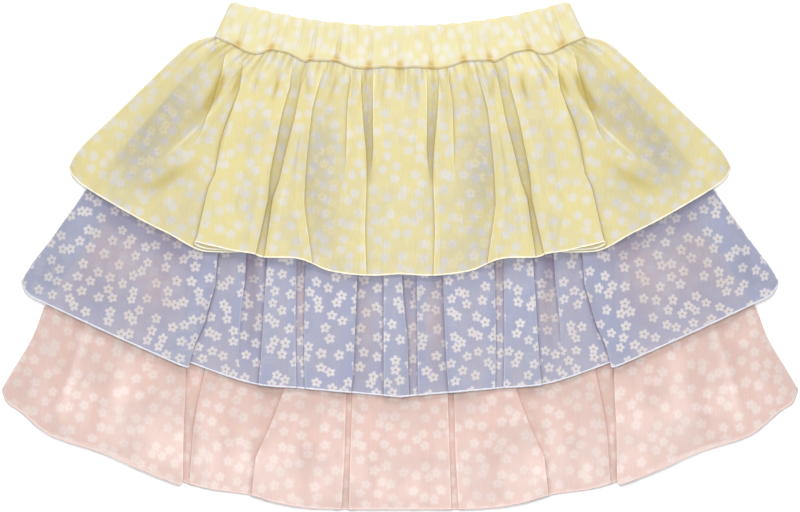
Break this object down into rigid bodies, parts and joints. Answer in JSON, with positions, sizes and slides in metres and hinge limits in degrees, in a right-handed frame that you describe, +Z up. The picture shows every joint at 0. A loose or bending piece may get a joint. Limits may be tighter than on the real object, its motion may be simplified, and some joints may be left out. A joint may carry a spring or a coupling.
{
  "type": "child's three-tier ruffled pull-on skirt, laid flat",
  "caption": "Pull-on skirt of gathered floral voile tiers that fan out from an elastic waistband, laid flat on its back.",
  "frame": {"origin": "middle of the area the laid-out skirt covers, on the surface it lies on", "axes": "+X from side seam to side seam, +Y from the hem towards the waist, +Z up from the surface, out of the skirt's front"},
  "size_m": [0.5194, 0.33, 0.0167],
  "materials": {
    "yellow_voile": "sheer matt voile, pale yellow with small white flowers",
    "blue_voile": "sheer matt voile, lilac blue with small white flowers",
    "pink_voile": "sheer matt voile, pale pink with small off-white flowers"
  },
  "bodies": {
    "root": {"waistband": "yellow_voile", "top_tier_front": "yellow_voile", "top_tier_back": "yellow_voile", "middle_tier_front": "blue_voile", "middle_tier_back": "blue_voile", "bottom_tier_front": "pink_voile", "bottom_tier_back": "pink_voile"}
  },
  "joints": []
}
